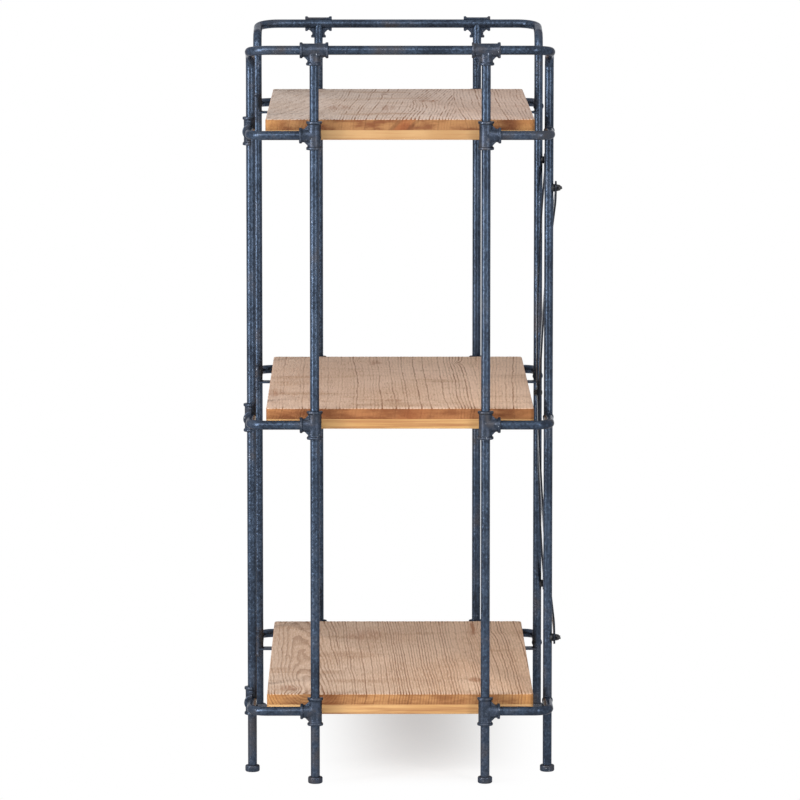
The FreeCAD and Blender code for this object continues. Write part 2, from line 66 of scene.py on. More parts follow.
class Field:
    """A socket of a material, so that shader maths can be written as expressions."""

    def __init__(self, tree, socket=None):
        self.tree = tree
        self.socket = socket

    def node(self, kind, settings=None, sockets=None, out=0):
        """Adds a node of a type, makes its settings, then sets or links its sockets."""
        made = self.tree.nodes.new("ShaderNode" + kind)
        for name, value in (settings or {}).items():
            setattr(made, name, value)
        for name, value in (sockets or {}).items():
            if isinstance(value, Field):
                self.tree.links.new(value.socket, made.inputs[name])
            else:
                made.inputs[name].default_value = value
        return Field(self.tree, made.outputs[out])

    def math(self, operation, first, second=0.0):
        return self.node("Math", {"operation": operation}, {0: first, 1: second})

    def __add__(self, other):
        return self.math("ADD", self, other)

    def __radd__(self, other):
        return self.math("ADD", other, self)

    def __sub__(self, other):
        return self.math("SUBTRACT", self, other)

    def __rsub__(self, other):
        return self.math("SUBTRACT", other, self)

    def __mul__(self, other):
        return self.math("MULTIPLY", self, other)

    def __rmul__(self, other):
        return self.math("MULTIPLY", other, self)

    def __pow__(self, other):
        return self.math("POWER", self, other)

    def __abs__(self):
        return self.math("ABSOLUTE", self)


def new_material(name):
    material = bpy.data.materials.new(name)
    material.use_nodes = True
    return material, Field(material.node_tree)


def own_place(field):
    return field.node("TexCoord", out="Object")


def along(place, axis):
    """How far a place lies along an axis."""
    return place.node("SeparateXYZ", {}, {"Vector": place}, out=axis)


def noise(place, scale, detail=3.0, rough=0.5, skew=0.0):
    """Cloudy noise, with so many cells per metre."""
    return place.node("TexNoise", {}, {"Vector": place, "Scale": scale, "Detail": detail, "Roughness": rough,
                                       "Distortion": skew})


def specks(place, scale):
    """The distance to the nearest of scattered points, in cells."""
    return place.node("TexVoronoi", {}, {"Vector": place, "Scale": scale})


def eased(value, low, high):
    """0 below low and 1 above high, with a soft step between; the other way round where low is the larger."""
    return value.node("MapRange", {"interpolation_type": "SMOOTHSTEP"},
                      {"Value": value, "From Min": low, "From Max": high})


def between(share, first, second):
    """A colour between two others."""
    first = first if isinstance(first, Field) else (*first, 1)
    second = second if isinstance(second, Field) else (*second, 1)
    return share.node("Mix", {"data_type": "RGBA"}, {0: share, 6: first, 7: second}, out=2)


def dress(material, colour, roughness, height, depth, fixed):
    """Links a material's colour, roughness and relief, and sets what is the same all over; depth is in metres."""
    tree = material.node_tree
    shader = tree.nodes["Principled BSDF"]
    relief = colour.node("Bump", {}, {"Height": height, "Distance": depth, "Strength": 1.0}, out="Normal")
    tree.links.new(colour.socket, shader.inputs["Base Color"])
    tree.links.new(roughness.socket, shader.inputs["Roughness"])
    tree.links.new(relief.socket, shader.inputs["Normal"])
    for name, value in fixed.items():
        shader.inputs[name].default_value = value
    return material


PAINT_SHINE = {"Metallic": 0.6, "Specular IOR Level": 0.3, "Specular Tint": (0.22, 0.25, 0.31, 1)}
TUBE_UNDERCOAT = (0.056, 0.050, 0.050)
# Pale bluish specks: partly bare steel, partly painted glints.
BARE_STEEL_AND_GLINT = (0.34, 0.38, 0.45)
# Below these heights the tube paint turns darker and browner towards the floor.
DARKER_BELOW_Z = 0.17
DARKEST_BELOW_Z = 0.07


def rubbed_paint(name, deep, light):
    """A paint between two tones, rubbed back here and there, darker and browner towards the floor, with pale specks
    that are partly bare metal and partly painted glints.
    """
    material, field = new_material(name)
    place = own_place(field)
    cloudy = noise(place, 17.0, 4.0, 0.6)
    mottle = noise(place, 260.0, 3.0, 0.6)
    dents = specks(place, 260.0)
    # More of the brown undercoat shows towards the floor, so the paint is darker there.
    towards_floor = eased(along(place, "Z"), DARKER_BELOW_Z, DARKEST_BELOW_Z)
    rubbed = eased(cloudy + 0.2 * mottle + 0.06 * towards_floor, 0.62, 0.82)
    # Specks of bare steel, which also serve as painted glints.
    specks_and_glints = eased(dents, 0.17, 0.09) * eased(noise(place, 31.0, 2.0), 0.58, 0.7)
    paint = between(eased(0.9 * mottle + 0.9 * cloudy, 0.7, 1.1), deep, light)
    worn = between(0.8 * rubbed, paint, TUBE_UNDERCOAT)
    colour = between(0.75 * specks_and_glints, worn, BARE_STEEL_AND_GLINT)
    roughness = 0.06 + 0.32 * mottle + 0.08 * rubbed
    height = 0.5 * dents + 0.6 * mottle - 0.2 * rubbed
    return dress(material, colour, roughness, height, 0.00034, PAINT_SHINE)


painted_tube = rubbed_paint("rubbed_navy_paint_with_glints", (0.023, 0.031, 0.047), (0.053, 0.077, 0.119))


def finish_nodes(start, material):
    """Gives the CAD nodes whose names start so a new finish."""
    for name, piece in nodes.items():
        if name.startswith(start):
            piece.data.materials.clear()
            piece.data.materials.append(material)


for start in ("front_post", "rear_post", "front_side_post", "rear_side_post", "top_rail", "corner_rail"):
    finish_nodes(start, painted_tube)


# Tees: half-shell iron castings that cover the outer side of each tube joint.
# Each has a rolled bead at its three mouths and a web in both crotches.
# They are painted with the tubes, and worn to dull metal on their beads, where the crests are also lightened as a
# painted highlight.

MILLI = 0.001
AS_MADE = Matrix.Identity(4)
ALONG_X = Matrix.Rotation(math.radians(90), 4, "Y")
UPRIGHT = Matrix.Rotation(math.radians(90), 4, "X")


def sides(form, rings):
    """Closes the sides between rings of points; a pole is a ring of one point over and over."""
    for lower, upper in zip(rings, rings[1:]):
        for step in range(len(lower)):
            ahead = (step + 1) % len(lower)
            form.faces.new(list(dict.fromkeys((lower[step], lower[ahead], upper[ahead], upper[step]))))


def caps(form, rings):
    """Closes the first and the last ring."""
    form.faces.new(rings[0][::-1])
    form.faces.new(rings[-1])


def outward(form):
    """The form with all its faces turned outwards."""
    bmesh.ops.recalc_face_normals(form, faces=form.faces)
    return form


def lathe(profile, steps=48):
    """A turned solid about Z, in millimetres, from a profile of radius and height that starts and ends on the axis."""
    form = bmesh.new()
    rings = []
    for radius, height in profile:
        if radius == 0:
            rings.append([form.verts.new((0, 0, height))] * steps)
            continue
        angles = [2 * math.pi * step / steps for step in range(steps)]
        rings.append([form.verts.new((radius * math.cos(a), radius * math.sin(a), height)) for a in angles])
    sides(form, rings)
    return outward(form)


def slab(outline, low, high):
    """A flat solid in millimetres from an outline in X and Y, between two heights."""
    form = bmesh.new()
    rings = [[form.verts.new((x, y, z)) for x, y in outline] for z in (low, high)]
    caps(form, rings)
    sides(form, rings)
    return outward(form)


def add_object(name, data):
    piece = bpy.data.objects.new(name, data)
    bpy.context.scene.collection.objects.link(piece)
    return piece


def joined(name, forms):
    """One object from several forms and their places."""
    whole = bmesh.new()
    for form, place in forms:
        bmesh.ops.transform(form, matrix=place, verts=form.verts)
        part = bpy.data.meshes.new(name)
        form.to_mesh(part)
        whole.from_mesh(part)
        form.free()
        bpy.data.meshes.remove(part)
    mesh = bpy.data.meshes.new(name)
    whole.to_mesh(mesh)
    whole.free()
    return add_object(name, mesh)


def settle(piece):
    """Turns a piece's modifiers into plain mesh."""
    mesh = bpy.data.meshes.new_from_object(piece.evaluated_get(bpy.context.evaluated_depsgraph_get()))
    piece.modifiers.clear()
    old = piece.data
    piece.data = mesh
    bpy.data.meshes.remove(old)


def cast(piece, grain, rounds):
    """Melts a piece's overlapping forms into one skin with softened corners."""
    skin = piece.modifiers.new("skin", "REMESH")
    skin.mode = "VOXEL"
    skin.voxel_size = grain
    soft = piece.modifiers.new("soft", "SMOOTH")
    soft.iterations = rounds
    soft.factor = 0.5
    settle(piece)


def carve(piece, form, place=AS_MADE, operation="DIFFERENCE"):
    """Cuts a form out of a piece, or with INTERSECT keeps only what lies inside it."""
    cutter = joined("cutter", [(form, place)])
    carving = piece.modifiers.new("carving", "BOOLEAN")
    carving.operation = operation
    carving.object = cutter
    carving.solver = "EXACT"
    settle(piece)
    bpy.data.objects.remove(cutter)


def thin(piece, share):
    """Leaves a share of a piece's triangles."""
    fewer = piece.modifiers.new("fewer", "DECIMATE")
    fewer.ratio = share
    settle(piece)


def smooth(piece, sharp):
    """Smooth shading over a piece, with the edges kept that turn by more than sharp degrees."""
    piece.data.shade_smooth()
    piece.data.set_sharp_from_angle(angle=math.radians(sharp))


def finished(piece, sharp):
    """A piece made in millimetres, shaded and turned into metres."""
    smooth(piece, sharp)
    piece.data.transform(Matrix.Scale(MILLI, 4))
    piece.data.update()
    return piece


TEE_BORE = 6.45
TEE_BODY = 9.45
TEE_BEAD = 11.15
TEE_RUN = 20.0
TEE_BRANCH = 21.0
PAST_ENDS = 30
BEAD_ZONE = 5
# The beads' section, as the share of their rise and the depth behind the mouth.
BEAD_STEPS = ((0.3, 0.0), (0.85, 0.3), (1.0, 1.0), (1.0, 3.0), (0.85, 3.7), (0.3, 4.2), (0.0, 4.8))
WEB_OUTLINE = ((7.0, 7.0), (15.4, 7.6), (7.6, 15.4))
WEB_HALF = 4.2


def bead(mouth, back):
    """The rolled bead behind a mouth, as radius and height; back is the way into the fitting."""
    rise = TEE_BEAD - TEE_BODY
    return [(TEE_BODY + rise * share, mouth + back * depth) for share, depth in BEAD_STEPS]


def rod(radius, low, high):
    return lathe([(0, low), (radius, low), (radius, high), (0, high)])


def tee_casting():
    run = lathe([(0, -TEE_RUN), *bead(-TEE_RUN, 1), *bead(TEE_RUN, -1)[::-1], (0, TEE_RUN)])
    branch = lathe([(0, 0), (TEE_BODY, 0), *bead(TEE_BRANCH, -1)[::-1], (0, TEE_BRANCH)])
    webs = [(slab([(x, way * z) for x, z in WEB_OUTLINE], -WEB_HALF, WEB_HALF), UPRIGHT) for way in (-1, 1)]
    piece = joined("tee_casting", [(run, AS_MADE), (branch, ALONG_X), *webs])
    cast(piece, grain=0.42, rounds=5)
    carve(piece, rod(TEE_BORE, -PAST_ENDS, PAST_ENDS))
    carve(piece, rod(TEE_BORE, 0, PAST_ENDS), ALONG_X)
    open_side = [(-PAST_ENDS, 0), (PAST_ENDS, 0), (PAST_ENDS, PAST_ENDS), (-PAST_ENDS, PAST_ENDS)]
    carve(piece, slab(open_side, -PAST_ENDS, PAST_ENDS))
    thin(piece, share=0.16)
    # How high each point stands on a bead crest; the finish lightens the crests with wear and a painted highlight.
    crest_wear_and_highlight = piece.data.attributes.new("crest_wear_and_highlight", "FLOAT", "POINT")
    for index, vertex in enumerate(piece.data.vertices):
        x, y, z = vertex.co
        at_run = math.hypot(x, y) if abs(z) > TEE_RUN - BEAD_ZONE and x < TEE_BEAD else 0.0
        at_branch = math.hypot(y, z) if x > TEE_BRANCH - BEAD_ZONE else 0.0
        crest = (max(at_run, at_branch) - TEE_BODY) / (TEE_BEAD - TEE_BODY)
        crest_wear_and_highlight.data[index].value = min(max(crest, 0.0), 1.0)
    return finished(piece, sharp=50)


def new_tree(name, inputs, result):
    """A node tree with its named inputs and its result, and the node that gives the inputs."""
    tree = bpy.data.node_groups.new(name, "GeometryNodeTree")
    for label, kind in inputs.items():
        tree.interface.new_socket(label, in_out="INPUT", socket_type="NodeSocket" + kind)
    tree.interface.new_socket(result, in_out="OUTPUT", socket_type="NodeSocketGeometry")
    return tree, tree.nodes.new("NodeGroupInput")


def wire(tree, *links):
    for source, target in links:
        tree.links.new(source, target)


def end_tree(tree, inside, made):
    """Makes a tree's copies real, gives them the finish among its inputs, and puts them out as its result."""
    real = tree.nodes.new("GeometryNodeRealizeInstances")
    finish = tree.nodes.new("GeometryNodeSetMaterial")
    outside = tree.nodes.new("NodeGroupOutput")
    wire(tree, (made, real.inputs["Geometry"]), (real.outputs["Geometry"], finish.inputs["Geometry"]),
         (inside.outputs["Finish"], finish.inputs["Material"]), (finish.outputs["Geometry"], outside.inputs[0]))
    return tree


def placing_tree():
    """Sets a copy of one form on every point, turned as the point's own facing says."""
    inputs = {"Points": "Geometry", "Form": "Object", "Size": "Float", "Finish": "Material"}
    tree, inside = new_tree("copies_on_points", inputs, "Pieces")
    form = tree.nodes.new("GeometryNodeObjectInfo")
    facing = tree.nodes.new("GeometryNodeInputNamedAttribute")
    facing.data_type = "FLOAT_VECTOR"
    facing.inputs["Name"].default_value = "facing"
    turn = tree.nodes.new("FunctionNodeEulerToRotation")
    spread = tree.nodes.new("GeometryNodeInstanceOnPoints")
    wire(tree, (inside.outputs["Form"], form.inputs["Object"]),
         (inside.outputs["Points"], spread.inputs["Points"]),
         (form.outputs["Geometry"], spread.inputs["Instance"]),
         (facing.outputs["Attribute"], turn.inputs["Euler"]),
         (turn.outputs["Rotation"], spread.inputs["Rotation"]),
         (inside.outputs["Size"], spread.inputs["Scale"]))
    return end_tree(tree, inside, spread.outputs["Instances"])


place_copies = placing_tree()


def grow(piece, tree, inputs):
    """Runs a node tree on a piece with its named inputs, and keeps the result as plain mesh."""
    grown = piece.modifiers.new("grown", "NODES")
    grown.node_group = tree
    for item in tree.interface.items_tree:
        if item.in_out == "INPUT" and item.name in inputs:
            grown[item.identifier] = inputs[item.name]
    settle(piece)


def copies(name, form, spots, material):
    """One piece made of copies of a form, at each spot's place and turn."""
    mesh = bpy.data.meshes.new(name)
    mesh.from_pydata([place for place, turn in spots], [], [])
    facing = mesh.attributes.new("facing", "FLOAT_VECTOR", "POINT")
    for index, (place, turn) in enumerate(spots):
        facing.data[index].vector = turn.to_euler()
    piece = add_object(name, mesh)
    grow(piece, place_copies, {"Form": form, "Size": 1.0, "Finish": material})
    bpy.data.objects.remove(form)
    return piece


def half_turns(x, y, z):
    """Half turns about the axes that are marked, as one matrix."""
    turn = AS_MADE
    for axis, wanted in (("X", x), ("Y", y), ("Z", z)):
        if wanted:
            turn = Matrix.Rotation(math.pi, 4, axis) @ turn
    return turn


def corner_turn(side, end):
    """The half turn that carries the right rear corner's piece to another corner."""
    return half_turns(side > 0 > end, end > 0 > side, side < 0 and end < 0)


IRON_TONES = ((0.028, 0.036, 0.051), (0.049, 0.064, 0.096))
IRON_UNDERCOAT = (0.052, 0.048, 0.049)
# Crest and speck colours: partly worn and bare iron, partly painted highlight and glints.
DULL_IRON_AND_HIGHLIGHT = (0.12, 0.13, 0.15)
BARE_IRON_AND_GLINT = (0.42, 0.45, 0.5)


def iron_paint():
    """The tubes' paint on the sandy skin of a casting, lighter along its bead crests: worn metal and a painted
    highlight.
    """
    material, field = new_material("worn_and_highlit_iron_paint")
    place = own_place(field)
    crest = field.node("Attribute", {"attribute_name": "crest_wear_and_highlight"}, out="Fac")
    cloudy = noise(place, 42.0, 4.0, 0.6)
    sandy = noise(place, 520.0, 3.0, 0.65)
    mottle = noise(place, 170.0, 3.0, 0.6)
    dusty = eased(cloudy + 0.35 * mottle, 0.62, 0.86)
    # The bead crests turn grey: partly wear to dull metal, partly a painted highlight.
    worn = eased(crest * 0.4 + 0.9 * mottle + 0.35 * sandy, 1.0, 1.22)
    # Pale specks: partly bare iron, partly painted glints.
    specks_and_glints = eased(specks(place, 260.0), 0.22, 0.1) * eased(noise(place, 60.0, 2.0), 0.5, 0.64)
    navy = between(eased(mottle + 0.4 * cloudy, 0.5, 0.9), *IRON_TONES)
    dulled = between(0.8 * dusty, navy, IRON_UNDERCOAT)
    rubbed = between(0.5 * worn, dulled, DULL_IRON_AND_HIGHLIGHT)
    colour = between(0.7 * specks_and_glints, rubbed, BARE_IRON_AND_GLINT)
    roughness = 0.14 + 0.26 * sandy + 0.1 * dusty
    height = 0.5 * sandy + 0.6 * mottle
    return dress(material, colour, roughness, height, 0.0005, PAINT_SHINE)


painted_iron = iron_paint()
LEVELS = {"low": 0.102, "mid": 0.506, "high": 0.910}
SIDES = {"left": -1, "right": 1}
ENDS = {"front": -1, "rear": 1}
POST_X = 0.119
SIDE_X = 0.209
POST_Y = 0.341
SIDE_Y = 0.251
TOP_RAIL_Z = 1.028

spots = []
replaced = []
for end_name, end in ENDS.items():
    for side in SIDES.values():
        for height in LEVELS.values():
            spots.append(((side * POST_X, end * POST_Y, height), corner_turn(side, -end)))
        spots.append(((side * POST_X, end * POST_Y, TOP_RAIL_Z), half_turns(False, False, end > 0) @ ALONG_X))
    # Only the side posts on the left have them.
    for height in LEVELS.values():
        facing_out = corner_turn(SIDES["left"], end) @ Matrix.Rotation(math.radians(90), 4, "Z")
        spots.append(((SIDES["left"] * SIDE_X, end * SIDE_Y, height), facing_out))
    replaced += [f"end_tees_{level}_{end_name}" for level in LEVELS]
    replaced += [f"side_tee_{level}_{end_name}" for level in LEVELS]
    replaced.append(f"top_tees_{end_name}")
cast_tees = copies("cast_tees", tee_casting(), spots, painted_iron)
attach(cast_tees, "frame")
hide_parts(*replaced)


# Foot caps: turned iron cups with rolled rims, pushed on to the posts.
# They stand on the floor and are painted with the frame.

CAP_BORE = 6.45
CAP_OUTER = 10.25
CAP_TALL = 9.5
CAP_FLOOR = 3.0
CAP_ROUND = 2.2


def foot_cap():
    turns = [math.radians(angle) for angle in range(0, 91, 15)]
    falling = [CAP_ROUND * (1 - math.sin(turn)) for turn in turns]
    rising = [CAP_ROUND * (1 - math.cos(turn)) for turn in turns]
    rim = [(CAP_OUTER - inset, height) for inset, height in zip(falling, rising)]
    lip = [(CAP_OUTER - inset, CAP_TALL - drop) for inset, drop in zip(rising, falling)]
    cup = lathe([(0, 0), *rim, *lip, (CAP_BORE, CAP_TALL), (CAP_BORE, CAP_FLOOR), (0, CAP_FLOOR)])
    return finished(joined("foot_cap", [(cup, AS_MADE)]), sharp=40)


spots = [((side * x, end * y, 0.0), AS_MADE) for side in SIDES.values() for end in ENDS.values()
         for x, y in ((POST_X, POST_Y), (SIDE_X, SIDE_Y))]
feet = copies("turned_foot_caps", foot_cap(), spots, painted_iron)
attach(feet, "frame")
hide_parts("foot_caps")


# Tabs: flat steel tongues that carry the shelves, set round the side posts.
# Each is held above and below by a short run of weld, painted over. On the
# right the corner rails are welded to the side posts in the same way.

finish_nodes("shelf_tabs", painted_tube)
SHELF_DROP = 0.0075
TAB_THICK = 0.0025
WELD_RADIUS = 0.0066
WELD_BEAD = 0.0012
WELD_SPACING = 0.0011


def weld_tree():
    """Lays overlapping beads of metal along the given lines."""
    inputs = {"Lines": "Geometry", "Bead radius": "Float", "Bead spacing": "Float", "Finish": "Material"}
    tree, inside = new_tree("weld_beads", inputs, "Weld")
    line = tree.nodes.new("GeometryNodeMeshToCurve")
    even = tree.nodes.new("GeometryNodeResampleCurve")
    even.mode = "LENGTH"
    drop = tree.nodes.new("GeometryNodeMeshIcoSphere")
    drop.inputs["Subdivisions"].default_value = 2
    size = tree.nodes.new("FunctionNodeRandomValue")
    size.data_type = "FLOAT"
    size.inputs["Min"].default_value = 0.8
    size.inputs["Max"].default_value = 1.1
    size.inputs["Seed"].default_value = 5
    beads = tree.nodes.new("GeometryNodeInstanceOnPoints")
    wire(tree, (inside.outputs["Lines"], line.inputs["Mesh"]),
         (line.outputs["Curve"], even.inputs["Curve"]),
         (inside.outputs["Bead spacing"], even.inputs["Length"]),
         (even.outputs["Curve"], beads.inputs["Points"]),
         (inside.outputs["Bead radius"], drop.inputs["Radius"]),
         (drop.outputs["Mesh"], beads.inputs["Instance"]),
         (size.outputs["Value"], beads.inputs["Scale"]))
    return end_tree(tree, inside, beads.outputs["Instances"])


def tab_arc(side, end, z):
    """An arc round a side post, on the side of the shelf."""
    turns = [math.radians(angle) for angle in range(-80, 81, 10)]
    return [(side * (SIDE_X - WELD_RADIUS * math.cos(turn)), end * SIDE_Y + WELD_RADIUS * math.sin(turn), z)
            for turn in turns]


def rail_saddle(end, height):
    """The curve where a corner rail meets a side post on the right."""
    turns = [math.radians(angle) for angle in range(0, 361, 10)]
    return [(SIDE_X + WELD_RADIUS * math.cos(turn), end * (SIDE_Y + WELD_RADIUS * abs(math.sin(turn))),
             height + WELD_RADIUS * math.sin(turn)) for turn in turns]


def weld_lines():
    runs = []
    for height in LEVELS.values():
        for end in ENDS.values():
            runs.append(rail_saddle(end, height))
            for side in SIDES.values():
                for z in (height - SHELF_DROP, height - SHELF_DROP - TAB_THICK):
                    runs.append(tab_arc(side, end, z))
    points = []
    edges = []
    for run in runs:
        edges += [(len(points) + index, len(points) + index + 1) for index in range(len(run) - 1)]
        points += run
    mesh = bpy.data.meshes.new("weld_runs")
    mesh.from_pydata(points, edges, [])
    return add_object("weld_runs", mesh)


welds = weld_lines()
grow(welds, weld_tree(), {"Bead radius": WELD_BEAD, "Bead spacing": WELD_SPACING, "Finish": painted_iron})
welds.data.shade_smooth()
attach(welds, "frame")


# Cleats: four strips of pine under each board, glued flush with its edges.
# The end strips run across the unit and the side strips between them.

def eased_block(outline, low, high, upper, lower):
    """A block in metres from its outline, with its rims rounded off; upper is how far at each point of the outline."""
    corners = [Vector(point) for point in outline]
    inward = []
    for index, corner in enumerate(corners):
        before = (corner - corners[index - 1]).normalized()
        after = (corners[(index + 1) % len(corners)] - corner).normalized()
        bisector = Vector((-before.y - after.y, before.x + after.x)) / 2
        inward.append(bisector / bisector.length_squared)
    rounding = [(1 - math.cos(turn), 1 - math.sin(turn)) for turn in map(math.radians, (0, 30, 60, 90))]
    form = bmesh.new()
    rings = []
    for eases, rim, way, steps in (([lower] * len(corners), low, 1, rounding[::-1]), (upper, high, -1, rounding)):
        for inset, drop in steps:
            rings.append([form.verts.new((*(corner + inset * ease * edge), rim + way * drop * ease))
                          for corner, edge, ease in zip(corners, inward, eases)])
    sides(form, rings)
    caps(form, rings)
    return outward(form)


def rounded_plan(half_x, half_y, radius):
    """A rectangle with round corners, about the origin."""
    points = []
    for way_x, way_y, first in ((1, 1, 0), (-1, 1, 90), (-1, -1, 180), (1, -1, 270)):
        for angle in range(first, first + 91, 15):
            points.append((way_x * (half_x - radius) + radius * math.cos(math.radians(angle)),
                           way_y * (half_y - radius) + radius * math.sin(math.radians(angle))))
    return points


def streaks(place, x, y, z, detail=2.0, rough=0.5, skew=0.0):
    """Noise drawn out along the grain, with so many cells per metre on each axis."""
    drawn_out = place.node("VectorMath", {"operation": "MULTIPLY"}, {0: place, 1: (x, y, z)})
    return noise(drawn_out, 1.0, detail, rough, skew)


SHELF_HALF_X = 0.18705
SHELF_HALF_Y = 0.32205
SHELF_CORNER = 0.006
WOOD_SHARP = 35
CLEAT_WIDE = 0.045
CLEAT_THICK = 0.0136
CLEAT_INNER_Y = SHELF_HALF_Y - CLEAT_WIDE
CLEAT_SEAM = 0.0005
CLEAT_UPPER_EASE = 0.0003
CLEAT_LOWER_EASE = 0.0009
CLEAT_LATE_WOOD = (0.30, 0.135, 0.048)
# The pale and the deep tone of each shelf's strips, darker on the higher shelves: painted shade set against the lamps,
# which light the upper strips more strongly.
CLEAT_TONES_PAINTED_SHADE = {
    "low": ((0.57, 0.34, 0.145), (0.46, 0.25, 0.093)),
    "mid": ((0.494, 0.288, 0.11), (0.395, 0.211, 0.0715)),
    "high": ((0.43, 0.258, 0.112), (0.343, 0.188, 0.072)),
}


def cleat_pine(level):
    """Straight grain along each strip: across the unit in the end strips, and along it in the others."""
    material, field = new_material(f"golden_pine_shaded_{level}")
    place = own_place(field)
    in_ends = eased(abs(along(place, "Y")), CLEAT_INNER_Y - CLEAT_SEAM, CLEAT_INNER_Y + CLEAT_SEAM)
    end_grain = streaks(place, 5.0, 210.0, 260.0, 5.0, 0.6, 0.5)
    side_grain = streaks(place, 210.0, 5.0, 260.0, 5.0, 0.6, 0.5)
    grain = in_ends * end_grain + (1 - in_ends) * side_grain
    # Each shelf's own tones carry painted shade, darker higher up.
    level_tone_and_shade = between(eased(noise(place, 9.0), 0.35, 0.68), *CLEAT_TONES_PAINTED_SHADE[level])
    colour = between(eased(grain, 0.44, 0.7), level_tone_and_shade, CLEAT_LATE_WOOD)
    return dress(material, colour, 0.5 + 0.18 * grain, grain, 0.0003, {"Specular IOR Level": 0.35})


shelf_plan = rounded_plan(SHELF_HALF_X, SHELF_HALF_Y, SHELF_CORNER)
end_corners = [(x, y) for x, y in shelf_plan if y > CLEAT_INNER_Y]
end_plan = [(SHELF_HALF_X, CLEAT_INNER_Y), *end_corners, (-SHELF_HALF_X, CLEAT_INNER_Y)]
side_plan = [(SHELF_HALF_X - CLEAT_WIDE, -CLEAT_INNER_Y), (SHELF_HALF_X, -CLEAT_INNER_Y),
             (SHELF_HALF_X, CLEAT_INNER_Y), (SHELF_HALF_X - CLEAT_WIDE, CLEAT_INNER_Y)]
for level, height in LEVELS.items():
    low = height - SHELF_DROP
    strips = []
    for way in (1, -1):
        for plan in (end_plan, side_plan):
            turned = [(way * x, way * y) for x, y in plan]
            upper = [CLEAT_UPPER_EASE] * len(turned)
            strips.append((eased_block(turned, low, low + CLEAT_THICK, upper, CLEAT_LOWER_EASE), AS_MADE))
    shelf_cleats = joined(f"pine_cleats_{level}", strips)
    smooth(shelf_cleats, WOOD_SHARP)
    shelf_cleats.data.materials.append(cleat_pine(level))
    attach(shelf_cleats, "frame")
    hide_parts(f"cleats_{level}")


# Boards: three planks of old pine edge-glued into one wide board.
# The top is brushed along the grain, which leaves its ring lines as dark
# grooves; the sawn edges are left golden to red. Screws hold it from below.

BOARD_THICK = 0.015
BOARD_LOWER_EASE = 0.0003
RIM_EASE = 0.0016
RIM_RAGGED = (-0.0011, 0.0012)
RIM_EVEN = (-0.0003, 0.0003)
RIM_END_STEP = 0.0021
RIM_SIDE_STEP = 0.012
OPENED_GRAIN = 0.045
STAIN_BROWN = (0.42, 0.235, 0.135)
RESIN_RED = (0.34, 0.14, 0.068)
LINE_BROWN = (0.245, 0.11, 0.05)
FIBRE_PALE = (0.84, 0.63, 0.48)
PORE_BROWN = (0.27, 0.14, 0.08)
KNOT_BROWN = (0.24, 0.10, 0.05)
END_GOLD = (0.48, 0.235, 0.08)
EDGE_RING_BROWN = (0.16, 0.055, 0.02)
BRANCH_RED = (0.235, 0.068, 0.023)
BARK_BROWN = (0.105, 0.033, 0.012)
